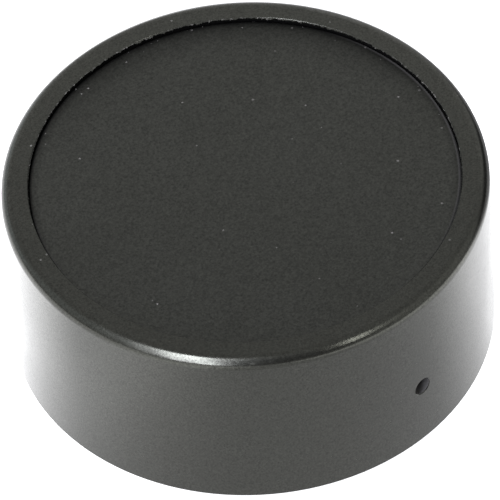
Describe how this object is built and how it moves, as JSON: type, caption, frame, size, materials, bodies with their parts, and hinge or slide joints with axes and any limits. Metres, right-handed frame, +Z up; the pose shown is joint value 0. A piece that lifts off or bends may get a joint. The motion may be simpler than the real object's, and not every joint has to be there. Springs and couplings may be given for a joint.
{
  "type": "security tag detacher",
  "caption": "Low round black puck with a flat inset pad and a magnet pack inside, set on a shop counter to free hard security tags.",
  "frame": {"origin": "centre of the foot ring's lower face, where the puck's axis meets the counter", "axes": "+Z up along the puck's axis towards the tag pad, -Y towards the set screw"},
  "size_m": [0.0762, 0.0762, 0.032],
  "materials": {
    "housing_plastic": "turned black plastic, satin, rounded outer edge",
    "pad_plastic": "fine-grained matte black",
    "adhesive_film": "dull translucent film",
    "stainless_plate": "turned stainless steel",
    "zinc_screws": "zinc plated",
    "foam": "closed-cell foam",
    "retainer_aluminium": "turned",
    "yoke_steel": "turned mild steel, zinc plated",
    "magnet_nickel": "bright nickel plating",
    "sleeve_brass": "drawn tube",
    "cage_plastic": "natural moulded nylon",
    "black_oxide_steel": "black oxide",
    "foot_rubber": "matte"
  },
  "bodies": {
    "root": {"housing": "housing_plastic", "wear_pad": "pad_plastic", "pad_adhesive": "adhesive_film", "cover_plate": "stainless_plate", "cover_screws": "zinc_screws", "cushion_ring": "foam", "retainer_ring": "retainer_aluminium", "retainer_screws": "zinc_screws", "pole_piece": "yoke_steel", "centre_magnet_upper": "magnet_nickel", "centre_magnet_lower": "magnet_nickel", "magnet_sleeve": "sleeve_brass", "magnet_cage": "cage_plastic", "yoke_cup": "yoke_steel", "floor_shim": "foam", "yoke_screws": "zinc_screws", "set_screw": "black_oxide_steel", "foot_ring": "foot_rubber", "ring_magnet_1": "magnet_nickel", "ring_magnet_2": "magnet_nickel", "ring_magnet_3": "magnet_nickel", "ring_magnet_4": "magnet_nickel", "ring_magnet_5": "magnet_nickel", "ring_magnet_6": "magnet_nickel", "ring_magnet_7": "magnet_nickel", "ring_magnet_8": "magnet_nickel"}
  },
  "joints": []
}
